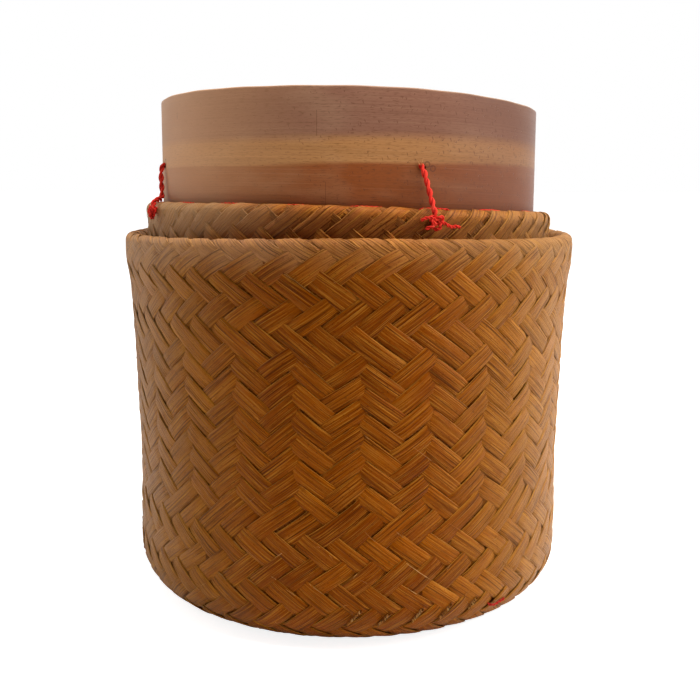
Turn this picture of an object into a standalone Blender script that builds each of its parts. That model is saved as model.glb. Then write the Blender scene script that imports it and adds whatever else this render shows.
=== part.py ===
"""A plaited two-basket caddy: an outer basket, an inner basket that lifts out of it, and a bentwood ring.

Each basket is a plaited tube folded back on itself at the mouth, so it has an outer wall and a lining, and it is
closed at one end by two plaited panels that are sewn in with red thread. The inner basket stands mouth down in the
outer one. The bentwood ring stands on its closed end and is tied there by four knotted loops of the same thread.
"""

import math

import bmesh
import bpy
from mathutils import Matrix, Vector

MM = 0.001
TURN = 2 * math.pi
SEGMENTS = 48          # sides of every turned shape
CORNER_STEPS = 4       # sides of a quarter round in a profile
RIM_STEPS = 6          # sides of a half round in a profile
GAP = 0.35 * MM        # between pieces that touch on the real object
SHEET = 1.4 * MM       # thickness of a plaited layer
PANEL = 1.2 * MM       # thickness of a plaited panel

# Outer basket, mouth up
OUTER_HEIGHT = 131.7 * MM
OUTER_RIM_RADIUS = 81.6 * MM
OUTER_RIM_FOLD = 2.7 * MM
OUTER_CORNER = 16.6 * MM
OUTER_BASE_RADIUS = 62.0 * MM
OUTER_BASE_HOLE = 57.0 * MM
LINING_HOLE = 59.0 * MM
OUTER_WALL = ((79.9, 108.0), (79.0, 80.0), (78.4, 48.0))  # radius and height of its outer face, in mm

# Inner basket, mouth down
MOUTH_RADIUS = 72.6 * MM
MOUTH_FOLD = 2.5 * MM
INNER_HEIGHT = 140.0 * MM
INNER_END_RADIUS = 73.7 * MM
INNER_END_FOLD = 1.8 * MM
INNER_END_HOLE = 68.0 * MM
INNER_WALL = ((72.7, 131.0), (73.0, 100.0), (72.6, 50.0))

# Bentwood ring: one strip of wood, bent round and lapped on itself
RING_RADIUS = 67.1 * MM
RING_TOP = 175.8 * MM
RING_WOOD = 3.0 * MM
RING_TIP_WOOD = 1.4 * MM
RING_TIP_ANGLE = math.radians(177)
LAP_ANGLE = math.radians(35)
LEAD_ANGLE = math.radians(30)

# Red thread
TIE_ANGLES = {"front": 20, "right": 110, "back": 200, "left": 290}  # degrees from the front, towards the right
TIE_HOLE_ABOVE_BASE = 13.7 * MM
TIE_RADIUS = 0.7 * MM
THREAD_RADIUS = 0.45 * MM
NEEDLE_CLEARANCE = 0.27 * MM
END_STITCHES = 20
END_SEAM_RADIUS = 69.4 * MM
BASE_STITCHES = 3
BASE_STITCH_ANGLE = math.radians(40)
BASE_STITCH_LENGTH = 7.0 * MM
BASE_SEAM_DROP = math.radians(24)   # how far round the bottom corner the seam runs
LACING_HOLES = 5

# Heights that follow from the ones above
BASE_PANEL_BOTTOM = SHEET + GAP
FLOOR_BOTTOM = BASE_PANEL_BOTTOM + PANEL + GAP
LINING_FOOT = FLOOR_BOTTOM + PANEL + GAP
LINING_CORNER = OUTER_CORNER - SHEET - GAP
THREAD_LIFT = THREAD_RADIUS + GAP
END_PANEL_TOP = INNER_HEIGHT - SHEET - GAP
CEILING_TOP = END_PANEL_TOP - PANEL - 2 * THREAD_LIFT
INNER_LINING_TOP = CEILING_TOP - PANEL - GAP
RING_BASE = END_PANEL_TOP + GAP

# The mouth stands on the rounded corner inside the outer basket
SEAT_REACH = LINING_CORNER - SHEET - MOUTH_FOLD - GAP
SEAT_OUT = MOUTH_RADIUS - MOUTH_FOLD - OUTER_BASE_RADIUS
MOUTH_HEIGHT = OUTER_CORNER - math.sqrt(SEAT_REACH ** 2 - SEAT_OUT ** 2) - MOUTH_FOLD

parts = bpy.data.collections.new("tea_caddy")
cutters = bpy.data.collections.new("cutters")


def clear_scene():
    for old in list(bpy.data.objects):
        bpy.data.objects.remove(old)
    for collection in (parts, cutters):
        bpy.context.scene.collection.children.link(collection)


def material(name, colour, roughness):
    made = bpy.data.materials.new(name)
    made.use_nodes = True
    shader = made.node_tree.nodes["Principled BSDF"]
    shader.inputs["Base Color"].default_value = (*colour, 1.0)
    shader.inputs["Roughness"].default_value = roughness
    shader.inputs["Metallic"].default_value = 0.0
    return made


def in_metres(points):
    return [(radius * MM, height * MM) for radius, height in points]


def arc(centre, radius, start, end, steps=CORNER_STEPS):
    """Points of an arc in the (radius, height) plane, its angles in degrees from the outward direction."""
    angles = [math.radians(start + (end - start) * i / steps) for i in range(steps + 1)]
    return [(centre[0] + radius * math.cos(a), centre[1] + radius * math.sin(a)) for a in angles]


def inset(points, depth):
    """The points of a wall's outer face moved in by its thickness."""
    return [(radius - depth, height) for radius, height in points]


def turned(name, profile, surface, closed=True):
    """A solid of revolution. Its profile runs down the outer side and back up the inner one."""
    mesh = bpy.data.meshes.new(name)
    points = [(radius, 0.0, height) for radius, height in profile]
    edges = [(i, i + 1) for i in range(len(points) - 1)]
    if closed:
        edges.append((len(points) - 1, 0))
    mesh.from_pydata(points, edges, [])
    obj = bpy.data.objects.new(name, mesh)
    parts.objects.link(obj)
    screw = obj.modifiers.new("turn", "SCREW")
    screw.steps = SEGMENTS
    screw.render_steps = SEGMENTS
    screw.use_merge_vertices = True
    screw.merge_threshold = 0.00001
    screw.use_smooth_shade = True
    mesh.materials.append(surface)
    return obj


def disc(name, radius, bottom, thickness, surface):
    """A flat round panel."""
    top = bottom + thickness
    return turned(name, [(0.0, top), (radius, top), (radius, bottom), (0.0, bottom)], surface, closed=False)


def at_angle(radius, angle, height):
    """A point by its angle from the front, towards the right."""
    return Vector((radius * math.sin(angle), -radius * math.cos(angle), height))


def tube(name, points, radius, cyclic, collection, surface=None, sides=8):
    """A round thread along straight runs, as a closed mesh."""
    data = bpy.data.curves.new(name + "_line", "CURVE")
    data.dimensions = "3D"
    data.bevel_depth = radius
    data.bevel_resolution = (sides - 4) // 2
    data.use_fill_caps = not cyclic
    spline = data.splines.new("POLY")
    spline.points.add(len(points) - 1)
    for point, place in zip(spline.points, points):
        point.co = (*place, 1.0)
    spline.use_cyclic_u = cyclic
    return mesh_from(bpy.data.objects.new(name + "_line", data), name, collection, surface)


def mesh_from(curve, name, collection, surface=None):
    """The curve's evaluated shape as a mesh object with welded caps. The curve is removed."""
    bpy.context.scene.collection.objects.link(curve)
    graph = bpy.context.evaluated_depsgraph_get()
    mesh = bpy.data.meshes.new_from_object(curve.evaluated_get(graph))
    mesh.name = name
    shape = bmesh.new()
    shape.from_mesh(mesh)
    bmesh.ops.remove_doubles(shape, verts=shape.verts, dist=0.000001)
    bmesh.ops.recalc_face_normals(shape, faces=shape.faces)
    shape.to_mesh(mesh)
    shape.free()
    mesh.shade_smooth()
    mesh.set_sharp_from_angle(angle=math.radians(50))
    obj = bpy.data.objects.new(name, mesh)
    obj.matrix_world = curve.matrix_world
    collection.objects.link(obj)
    bpy.data.objects.remove(curve)
    if surface:
        mesh.materials.append(surface)
    if collection is cutters:
        hide(obj)
    return obj


def hide(obj):
    obj.hide_render = True
    obj.display_type = "WIRE"


def boolean(obj, other, operation):
    modifier = obj.modifiers.new(operation.lower(), "BOOLEAN")
    modifier.operation = operation
    modifier.object = other


def cut(objects, cutter):
    for obj in objects:
        boolean(obj, cutter, "DIFFERENCE")


def outer_basket(plait):
    """The outer basket's four plaited pieces. Both panels lie between the wall's foot and the lining's."""
    rim = (OUTER_RIM_RADIUS - OUTER_RIM_FOLD, OUTER_HEIGHT - OUTER_RIM_FOLD)
    centre = (OUTER_BASE_RADIUS, OUTER_CORNER)
    side = in_metres(OUTER_WALL)
    lip_height = rim[1] - 4 * MM
    outside = arc(rim, OUTER_RIM_FOLD, 180, 0, RIM_STEPS)
    outside += side + arc(centre, OUTER_CORNER, 0, -90) + [(OUTER_BASE_HOLE, 0.0)]
    inside = [(OUTER_BASE_HOLE, SHEET)] + arc(centre, OUTER_CORNER - SHEET, -90, 0)
    inside += inset(side[::-1], SHEET) + arc(rim, OUTER_RIM_FOLD - SHEET, 0, 180, RIM_STEPS)
    lip = [(rim[0] - OUTER_RIM_FOLD + SHEET, lip_height), (rim[0] - OUTER_RIM_FOLD, lip_height)]
    wall = turned("outer_wall", outside + inside + lip, plait)

    foot = math.degrees(math.asin((LINING_FOOT - centre[1]) / LINING_CORNER))
    inner_foot = math.degrees(math.asin((LINING_FOOT + SHEET - centre[1]) / (LINING_CORNER - SHEET)))
    head = [(rim[0] - OUTER_RIM_FOLD + SHEET, lip_height - GAP)]
    back = head + inset(side, SHEET + GAP) + arc(centre, LINING_CORNER, 0, foot)
    back += [(LINING_HOLE, LINING_FOOT), (LINING_HOLE, LINING_FOOT + SHEET)]
    face = arc(centre, LINING_CORNER - SHEET, inner_foot, 0) + inset(side[::-1], 2 * SHEET + GAP)
    lining = turned("outer_lining", back + face + inset(head, SHEET), plait)

    base = disc("outer_base_panel", OUTER_BASE_RADIUS, BASE_PANEL_BOTTOM, PANEL, plait)
    floor = disc("outer_floor_panel", OUTER_BASE_RADIUS + 5 * MM, FLOOR_BOTTOM, PANEL, plait)
    return wall, lining, base, floor


def inner_basket(plait):
    """The inner basket's four plaited pieces, mouth down."""
    mouth = (MOUTH_RADIUS - MOUTH_FOLD, MOUTH_HEIGHT + MOUTH_FOLD)
    edge = (INNER_END_RADIUS - INNER_END_FOLD, INNER_HEIGHT - INNER_END_FOLD)
    side = in_metres(INNER_WALL)
    lip_height = mouth[1] + 4 * MM
    outside = [(INNER_END_HOLE, INNER_HEIGHT)] + arc(edge, INNER_END_FOLD, 90, 0)
    outside += side + arc(mouth, MOUTH_FOLD, 0, -180, RIM_STEPS)
    lip = [(mouth[0] - MOUTH_FOLD, lip_height), (mouth[0] - MOUTH_FOLD + SHEET, lip_height)]
    inside = arc(mouth, MOUTH_FOLD - SHEET, -180, 0, RIM_STEPS) + inset(side[::-1], SHEET)
    inside += arc(edge, INNER_END_FOLD - SHEET, 0, 90, 1) + [(INNER_END_HOLE, INNER_HEIGHT - SHEET)]
    wall = turned("inner_wall", outside + lip + inside, plait)

    foot = [(mouth[0] - MOUTH_FOLD + SHEET, lip_height + GAP)]
    top_radius = side[0][0]
    side[0] = (top_radius, INNER_LINING_TOP)
    back = inset(side, SHEET + GAP) + foot
    face = inset(foot, SHEET) + inset(side[::-1], 2 * SHEET + GAP)
    lining = turned("inner_lining", back + face, plait)

    radius = top_radius - SHEET - GAP
    end = disc("inner_end_panel", radius, END_PANEL_TOP - PANEL, PANEL, plait)
    ceiling = disc("inner_ceiling_panel", radius, CEILING_TOP - PANEL, PANEL, plait)
    return wall, lining, end, ceiling


def bentwood_ring(wood):
    """One strip of wood bent round. Both ends are scarfed thin where they lap, so the outside stays round."""
    tip_span = RING_TIP_WOOD + GAP
    steps = SEGMENTS + 8
    whole = TURN + LAP_ANGLE
    outer_line = []
    inner_line = []
    for i in range(steps + 1):
        turned_by = whole * i / steps
        scarf = min(1.0, turned_by / LAP_ANGLE)
        thickness = RING_TIP_WOOD + (RING_WOOD - RING_TIP_WOOD) * scarf
        dive = min(1.0, max(0.0, (turned_by - TURN + LEAD_ANGLE) / LEAD_ANGLE))
        radius = RING_RADIUS - tip_span * dive
        under = max(0.0, (turned_by - TURN) / LAP_ANGLE)
        radius -= (RING_WOOD - RING_TIP_WOOD) * under
        thickness -= (RING_WOOD - RING_TIP_WOOD) * under
        angle = RING_TIP_ANGLE - turned_by
        outer_line.append(at_angle(radius, angle, 0.0))
        inner_line.append(at_angle(radius - thickness, angle, 0.0))
    data = bpy.data.curves.new("ring_outline", "CURVE")
    data.dimensions = "2D"
    data.fill_mode = "BOTH"
    data.extrude = (RING_TOP - RING_BASE) / 2
    outline = outer_line + inner_line[::-1]
    spline = data.splines.new("POLY")
    spline.points.add(len(outline) - 1)
    for point, place in zip(spline.points, outline):
        point.co = (*place, 1.0)
    spline.use_cyclic_u = True
    ring = mesh_from(bpy.data.objects.new("ring_outline", data), "bentwood_ring", parts, wood)
    ring.data.transform(Matrix.Translation((0.0, 0.0, (RING_TOP + RING_BASE) / 2)))
    return ring


def sew(name, route, layers, thread):
    """A closed thread and the holes that it passes through."""
    stitching = tube(name, route, THREAD_RADIUS, True, parts, thread)
    needle = tube(name + "_holes", route, THREAD_RADIUS + NEEDLE_CLEARANCE, True, cutters, sides=6)
    cut(layers, needle)
    return stitching


def end_seam():
    """A running stitch through the inner wall's folded end and the end panel."""
    step = TURN / (2 * END_STITCHES)
    slant = 0.1 * step
    heights = (INNER_HEIGHT + THREAD_LIFT, END_PANEL_TOP - PANEL - THREAD_LIFT)
    route = []
    for i in range(2 * END_STITCHES):
        for angle in (i * step + slant, (i + 1) * step - slant):
            route.append(at_angle(END_SEAM_RADIUS, angle, heights[i % 2]))
    return route


def base_seam():
    """A few short stitches outside the bottom corner, joined by long runs along the lining's corner."""
    outside = OUTER_CORNER + THREAD_LIFT
    inside = LINING_CORNER - SHEET - THREAD_LIFT
    half = BASE_STITCH_LENGTH / 2 / (OUTER_BASE_RADIUS + OUTER_CORNER)
    slant = math.radians(0.4)
    runs = 12
    route = []
    for i in range(BASE_STITCHES):
        middle = BASE_STITCH_ANGLE + i * TURN / BASE_STITCHES
        span = TURN / BASE_STITCHES - 2 * half
        route += [corner_point(outside, middle - half + slant), corner_point(outside, middle + half - slant)]
        for k in range(runs + 1):
            along = slant + (span - 2 * slant) * k / runs
            route.append(corner_point(inside, middle + half + along))
    return route


def corner_point(radius, angle):
    """A point on the seam's cone through the bottom corner, by its distance from the corner's centre."""
    out = OUTER_BASE_RADIUS + radius * math.cos(BASE_SEAM_DROP)
    return at_angle(out, angle, OUTER_CORNER - radius * math.sin(BASE_SEAM_DROP))


def lace(ring, thread):
    """The thread that sews the ring's lap, in and out through a column of holes."""
    outside = RING_RADIUS + THREAD_LIFT
    inside = RING_RADIUS - RING_TIP_WOOD - GAP - RING_WOOD - THREAD_LIFT
    span = (RING_TOP - RING_BASE) / (LACING_HOLES + 1)
    angle = RING_TIP_ANGLE - LAP_ANGLE / 2
    faces = (inside, outside)
    points = [at_angle(inside, angle, RING_BASE + 0.4 * span)]
    for hole in range(LACING_HOLES):
        height = RING_BASE + (hole + 1) * span
        points.append(at_angle(faces[hole % 2], angle, height))
        points.append(at_angle(faces[(hole + 1) % 2], angle, height))
    points.append(at_angle(faces[LACING_HOLES % 2], angle, RING_TOP - 0.4 * span))
    lacing = tube("ring_lacing", points, THREAD_RADIUS, False, parts, thread)
    needle = tube("lacing_holes", points, THREAD_RADIUS + NEEDLE_CLEARANCE, False, cutters)
    cut([ring], needle)
    return lacing


def tie_route():
    """A tie's closed loop at the front, as (across, outward, up): knot, ring hole, down inside, out through the wall."""
    hole = RING_BASE + TIE_HOLE_ABOVE_BASE
    edge = INNER_END_RADIUS + TIE_RADIUS + GAP
    inside_ring = RING_RADIUS - RING_WOOD - TIE_RADIUS - GAP
    under = CEILING_TOP - PANEL - 1.3 * MM
    through = INNER_HEIGHT - 8.2 * MM
    return [
        (0.0, edge, INNER_HEIGHT - 2.6 * MM),
        (0.0, edge, INNER_HEIGHT - 0.4 * MM),
        (0.0, edge - 0.9 * MM, INNER_HEIGHT + 1.1 * MM),
        (-0.8 * MM, RING_RADIUS + 1.0 * MM, hole),
        (-0.8 * MM, inside_ring, hole),
        (-0.6 * MM, inside_ring, RING_BASE + 1.0 * MM),
        (0.0, inside_ring, under),
        (0.0, inside_ring + 1.5 * MM, through),
        (0.0, edge - 1.0 * MM, through),
        (0.0, edge, through + 1.2 * MM),
    ]


def turn_to(route, angle):
    """A route at the front, turned about the object's axis."""
    about = Matrix.Rotation(angle, 3, "Z")
    return [about @ Vector((across, -outward, up)) for across, outward, up in route]


def tie(name, angle, ring, layers, thread):
    """One loop of thread with its knot and three short tails, and the holes that it passes through."""
    route = turn_to(tie_route(), angle)
    loop = tube(name, route, TIE_RADIUS, True, parts, thread)
    knot_out = INNER_END_RADIUS + 1.9 * MM
    knot_up = INNER_HEIGHT - 2.8 * MM
    shape = bmesh.new()
    bmesh.ops.create_uvsphere(shape, u_segments=8, v_segments=6, radius=1.0)
    knot_mesh = bpy.data.meshes.new(name + "_knot")
    shape.to_mesh(knot_mesh)
    shape.free()
    place = Matrix.Translation(turn_to([(0.0, knot_out, knot_up)], angle)[0]) @ Matrix.Rotation(angle, 4, "Z")
    knot_mesh.transform(place @ Matrix.Diagonal((2.3 * MM, 1.5 * MM, 1.9 * MM, 1.0)))
    knot = bpy.data.objects.new(name + "_knot", knot_mesh)
    cutters.objects.link(knot)
    hide(knot)
    boolean(loop, knot, "UNION")
    tails = {"right": (7.0, 0.4, -1.6), "left": (-4.6, 0.3, 0.4), "down": (-2.0, -0.2, -4.2)}
    for side, (across, outward, up) in tails.items():
        end = (across * MM, knot_out + outward * MM, knot_up + up * MM)
        line = turn_to([(0.0, knot_out, knot_up), end], angle)
        tail = tube(f"{name}_{side}_tail", line, THREAD_RADIUS, False, cutters)
        boolean(loop, tail, "UNION")
    needle = tube(name + "_holes", route, TIE_RADIUS + NEEDLE_CLEARANCE, True, cutters)
    cut([ring, *layers], needle)
    return loop


def parented(name, pieces):
    """An empty on the object's axis, the line that the inner basket lifts along, as the pieces' parent."""
    empty = bpy.data.objects.new(name, None)
    parts.objects.link(empty)
    for piece in pieces:
        piece.parent = empty


def main():
    clear_scene()
    outer_plait = material("outer_bamboo", (0.33, 0.14, 0.04), 0.45)
    inner_plait = material("inner_bamboo", (0.36, 0.16, 0.05), 0.5)
    wood = material("bent_wood", (0.29, 0.14, 0.08), 0.55)
    thread = material("red_thread", (0.62, 0.03, 0.02), 0.8)

    outer_wall, outer_lining, base, floor = outer_basket(outer_plait)
    base_stitching = sew("outer_base_stitching", base_seam(), [outer_wall, outer_lining], thread)

    inner_wall, inner_lining, end, ceiling = inner_basket(inner_plait)
    end_stitching = sew("inner_end_stitching", end_seam(), [inner_wall, end], thread)

    ring = bentwood_ring(wood)
    lacing = lace(ring, thread)
    layers = [inner_wall, inner_lining, end, ceiling]
    ties = []
    for side, degrees in TIE_ANGLES.items():
        ties.append(tie("ring_tie_" + side, math.radians(degrees), ring, layers, thread))

    parented("outer_basket", [outer_wall, outer_lining, base, floor, base_stitching])
    parented("inner_basket", [*layers, end_stitching, ring, lacing, *ties])


main()
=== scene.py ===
import math
from functools import partial

import bpy
import numpy as np
from mathutils import Matrix, Vector


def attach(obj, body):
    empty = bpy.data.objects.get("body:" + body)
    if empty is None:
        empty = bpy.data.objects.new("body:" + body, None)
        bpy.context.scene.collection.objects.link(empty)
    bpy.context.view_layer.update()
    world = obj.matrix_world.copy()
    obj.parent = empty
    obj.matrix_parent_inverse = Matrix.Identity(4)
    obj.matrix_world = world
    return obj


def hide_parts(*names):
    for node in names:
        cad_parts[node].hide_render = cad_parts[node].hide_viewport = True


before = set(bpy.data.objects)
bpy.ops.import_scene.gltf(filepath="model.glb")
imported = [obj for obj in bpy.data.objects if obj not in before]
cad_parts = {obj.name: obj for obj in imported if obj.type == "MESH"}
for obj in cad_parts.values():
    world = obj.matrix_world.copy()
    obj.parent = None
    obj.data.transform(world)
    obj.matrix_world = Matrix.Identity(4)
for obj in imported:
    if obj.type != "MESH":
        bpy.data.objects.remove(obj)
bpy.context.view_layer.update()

mm = 0.001
turn = 2 * math.pi


def linearColour(hexText):  # sRGB hex to linear RGBA
    s = np.array([int(hexText[i:i + 2], 16) for i in (1, 3, 5)]) / 255
    lin = np.where(s <= 0.04045, s / 12.92, ((s + 0.055) / 1.055) ** 2.4)
    return (*lin.tolist(), 1.0)


def addNode(tree, kind, inputs=None, output=0, **settings):
    # adds one node and hands back one of its outputs; an input is linked if it is given an output, set otherwise
    node = tree.nodes.new("ShaderNode" + kind)
    for key, value in settings.items():
        setattr(node, key, value)
    for key, value in (inputs or {}).items():
        if isinstance(value, bpy.types.NodeSocket):
            tree.links.new(value, node.inputs[key])
        else:
            node.inputs[key].default_value = value
    return node.outputs[output]


def addObject(name, data):
    obj = bpy.data.objects.new(name, data)
    bpy.context.scene.collection.objects.link(obj)
    return obj


def smoothStep(x):
    # 0 up to 0 and 1 from 1 on; between them 3x squared less 2x cubed
    x = np.clip(x, 0, 1)
    return x * x * (3 - 2 * x)


def unit(vectors):
    return vectors / np.linalg.norm(vectors, axis=-1, keepdims=True)


def catmullRom(points, perSpan):
    # smooth line through the points: on each span the cubic whose slopes are half the chord of its neighbours
    p = np.asarray(points, float)
    p = np.vstack([2 * p[0] - p[1], p, 2 * p[-1] - p[-2]])
    t = np.linspace(0, 1, perSpan, endpoint=False)[None, :, None]
    a, b, c, d = p[:-3, None], p[1:-2, None], p[2:-1, None], p[3:, None]
    curve = 2 * b + (c - a) * t + (2 * a - 5 * b + 4 * c - d) * t ** 2 + (3 * b - a - 3 * c + d) * t ** 3
    return np.vstack([0.5 * curve.reshape(-1, p.shape[1]), p[-2:-1]])


def arcPoints(centre, radius, start, end, count=24):
    # points on a circle from one angle to another, in degrees
    angle = np.radians(np.linspace(start, end, count))
    return np.column_stack([centre[0] + radius * np.cos(angle), centre[1] + radius * np.sin(angle)])


def resample(points, step, loop):
    # the same line with its points evenly spaced, how far along each is, and the length
    p = np.vstack([points, points[:1]]) if loop else np.asarray(points)
    far = np.concatenate([[0], np.cumsum(np.linalg.norm(np.diff(p, axis=0), axis=1))])
    count = max(8, int(far[-1] / step))
    where = np.linspace(0, far[-1], count, endpoint=not loop)
    return np.column_stack([np.interp(where, far, p[:, k]) for k in range(3)]), where, far[-1]


def soften(loopLine):
    # each point of a closed line moves half way to the middle of its two neighbours
    return 0.5 * loopLine + 0.25 * (np.roll(loopLine, 1, axis=0) + np.roll(loopLine, -1, axis=0))


def placeAt(degrees, points):
    # (across, outward, up) at an angle round from the front, to x, y, z
    a, p = math.radians(degrees), np.asarray(points, float)
    x = p[:, 0] * math.cos(a) + p[:, 1] * math.sin(a)
    y = p[:, 0] * math.sin(a) - p[:, 1] * math.cos(a)
    return np.column_stack([x, y, p[:, 2]])


def waves(x, seed, scale):
    # soft random wander: three sines with random phases, each 1.7 times as quick and 1.5 times as low as the last
    phase = np.random.default_rng(seed).uniform(0, turn, 3)
    octave = np.arange(3)
    x = np.asarray(x, float)[..., None]
    return (np.sin(x * 1.7 ** octave * turn / scale + phase) / 1.5 ** octave).sum(-1) / 1.9


def ripple(terms, angle, s, seed):
    # a sum of sines, each height * sin(rounds * angle + along * s + phase * seed)
    return sum(height * np.sin(rounds * angle + along * s + phase * seed)
               for height, rounds, along, phase in terms)


lid = {  # how the inner basket's closed end sits
    "sunk": 2.6,  # mm lower
    "rightDown": 0.0227, "frontUp": 0.045,  # slopes of its tilt
    "askewFrom": 70.0, "askewTo": 132.0,  # mm up, where the tilt fades in
    "backward": 0.03, "backwardFrom": 138.6,  # slope that the ring leans back by, and mm up that this starts
}


def settle(points):
    # heights change by a tilted plane, which fades in up the wall, and the ring on it leans back with it
    share = smoothStep((points[..., 2] - lid["askewFrom"]) / (lid["askewTo"] - lid["askewFrom"]))
    drop = -lid["sunk"] - lid["rightDown"] * points[..., 0] - lid["frontUp"] * points[..., 1]
    moved = points.copy()
    moved[..., 1] += lid["backward"] * np.maximum(points[..., 2] - lid["backwardFrom"], 0)
    moved[..., 2] += share * drop
    return moved


class Bundle:  # tubes gathered into one mesh, with their UVs in millimetres and their attributes
    def __init__(self):
        self.points, self.quads, self.caps, self.uv, self.data = [], [], [], [], {}
        self.count = 0

    def addTube(self, grid, uv, data, loop=False):
        # grid[u, v] is a closed ring v carried along u; the rings' order makes the faces point outwards
        nu, nv = grid.shape[:2]
        index = np.arange(nu * nv).reshape(nu, nv) + self.count
        here, ahead = (index, np.roll(index, -1, axis=0)) if loop else (index[:-1], index[1:])
        corners = [here, ahead, np.roll(ahead, -1, axis=1), np.roll(here, -1, axis=1)]
        self.quads.append(np.stack(corners, -1).reshape(-1, 4))
        if not loop:
            self.caps += [index[0], index[-1][::-1]]
        self.points.append(grid.reshape(-1, 3))
        self.uv.append(np.broadcast_to(uv, (nu, nv, 2)).reshape(-1, 2))
        for key, value in data.items():
            self.data.setdefault(key, []).append(np.broadcast_to(value, (nu, nv)).reshape(-1))
        self.count += nu * nv

    def build(self, name, body, replaced, finish, sharpFrom=52):
        points = np.vstack(self.points)
        if body == "inner_basket":
            points = settle(points)
        quads = np.vstack(self.quads)
        loops = np.concatenate([quads.reshape(-1)] + self.caps)
        sizes = np.array([4] * len(quads) + [len(cap) for cap in self.caps])
        starts = np.concatenate([[0], np.cumsum(sizes)[:-1]])
        mesh = bpy.data.meshes.new(name)
        mesh.vertices.add(len(points))
        mesh.vertices.foreach_set("co", (points * mm).astype(np.float32).reshape(-1))
        mesh.loops.add(len(loops))
        mesh.loops.foreach_set("vertex_index", loops.astype(np.int32))
        mesh.polygons.add(len(sizes))
        mesh.polygons.foreach_set("loop_start", starts.astype(np.int32))
        mesh.update(calc_edges=True)
        mesh.polygons.foreach_set("use_smooth", np.ones(len(sizes), bool))
        layer = mesh.uv_layers.new(name="strand")
        layer.data.foreach_set("uv", np.vstack(self.uv)[loops].astype(np.float32).reshape(-1))
        for key, parts in self.data.items():
            attribute = mesh.attributes.new(key, "FLOAT", "POINT")
            attribute.data.foreach_set("value", np.concatenate(parts).astype(np.float32))
        mesh.validate()
        mesh.set_sharp_from_angle(angle=math.radians(sharpFrom))
        mesh.materials.append(finish)
        obj = addObject(name, mesh)
        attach(obj, body)
        if replaced:
            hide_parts(*replaced)
        return obj


strip = {
    "count": 48,  # strips leaning each way round a basket
    "rowHeight": 7.92,  # mm along the wall, two crossings high
    "width": 6.42,  # mm
    "widths": (0.92, 1.02), "thicknesses": (0.90, 1.12),  # how much one strip may differ from the next
    "thickness": 0.44,
    "lap": 0.12,  # mm wider than its place, at most
    "lift": 0.31,  # mm a strip rises over, or sinks under, the middle of the sheet
    "turnOver": 0.36,  # share of a crossing that a strip takes to change sides
    "crown": 0.09,  # mm its middle stands above its edges
    "wander": 0.30,  # mm sideways
    "shingle": 0.17,  # mm its upper edge lies over the next strip's lower edge
    "roll": 0.13,  # mm more or less than that, along the strip
    "heel": 0.22,  # mm more that a strip bulges where it turns under the base
    "heelTo": 15.0, "heelOver": 9.0,  # mm up where the heel ends, and how soon it fades
    "foldReach": 1.7, "wrapReach": 1.5, "wornReach": 2.2,  # crossings that each effect of the fold spreads over
    "slant": 1.63,  # mm along a strip for each mm along the wall
}
sectionAcross = np.array([1.0, 0.93, 0.45, 0.0, -0.45, -0.93, -1.0, -0.95, 0.95])  # a strip's ring, edge first
sectionUp = np.array([-0.1, 0.46, 0.5, 0.5, 0.5, 0.46, -0.1, -0.5, -0.5])
sectionCrown = np.array([0.0, 0.25, 0.85, 1.0, 0.85, 0.25, 0.0, 0.0, 0.0])
crossingSteps = np.array([0.0, 0.13, 0.32, 0.68, 0.87])  # where a strip has a ring, as shares of a crossing
foldSteps = np.arange(-1.5, 1.5, 0.12)  # and round the fold
pitchAngle = turn / strip["count"]
levelStep = strip["rowHeight"] / 2

handmade = {  # how the plait is out of true: sines as height, waves round, waves per mm along, phase
    "sideways": [(0.009, 3, 0.045, 1), (0.004, 8, -0.08, 0)],  # radians
    "along": [(0.55, 4, 0.03, 1), (0.35, 9, 0.10, 0)],  # mm
    "outward": [(1.0, 2, 0, 1), (0.6, 3, 0, 2.1), (0.35, 7, 0, 1)],  # shares of the sheet's wobble
    "upward": [(0.5, 5, 0, 1.3)],
    "from": 4, "over": 40,  # mm up where the last two fade in
    "saddleFrom": 92, "saddleOver": 40,  # mm up where the rim starts to settle at its sides
    "table": 0.04,  # mm up, and nothing is lower
}


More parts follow.
